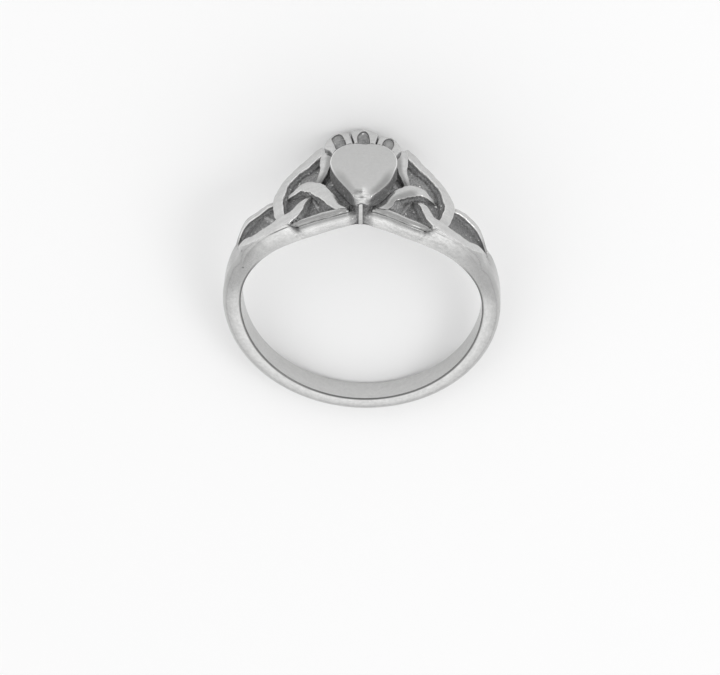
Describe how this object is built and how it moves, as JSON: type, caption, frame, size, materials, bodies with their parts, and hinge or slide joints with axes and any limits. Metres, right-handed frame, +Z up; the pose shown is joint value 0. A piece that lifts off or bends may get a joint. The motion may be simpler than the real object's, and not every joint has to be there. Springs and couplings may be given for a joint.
{
  "type": "claddagh ring",
  "caption": "A cast finger ring with a raised heart under a lobed crown, between trinity knots on a widened head that narrows to a plain shank.",
  "frame": {"origin": "centre of the box that holds the ring, on the surface that it lies on", "axes": "+Z up, out of that surface; -Y toward the heart, +Y toward the back of the shank; X across the heart"},
  "size_m": [0.02, 0.0215, 0.0092],
  "materials": {
    "silver": "polished cast silver, oxidised dark in the sunk ground and beside the heart"
  },
  "bodies": {
    "root": {"ring": "silver"}
  },
  "joints": []
}
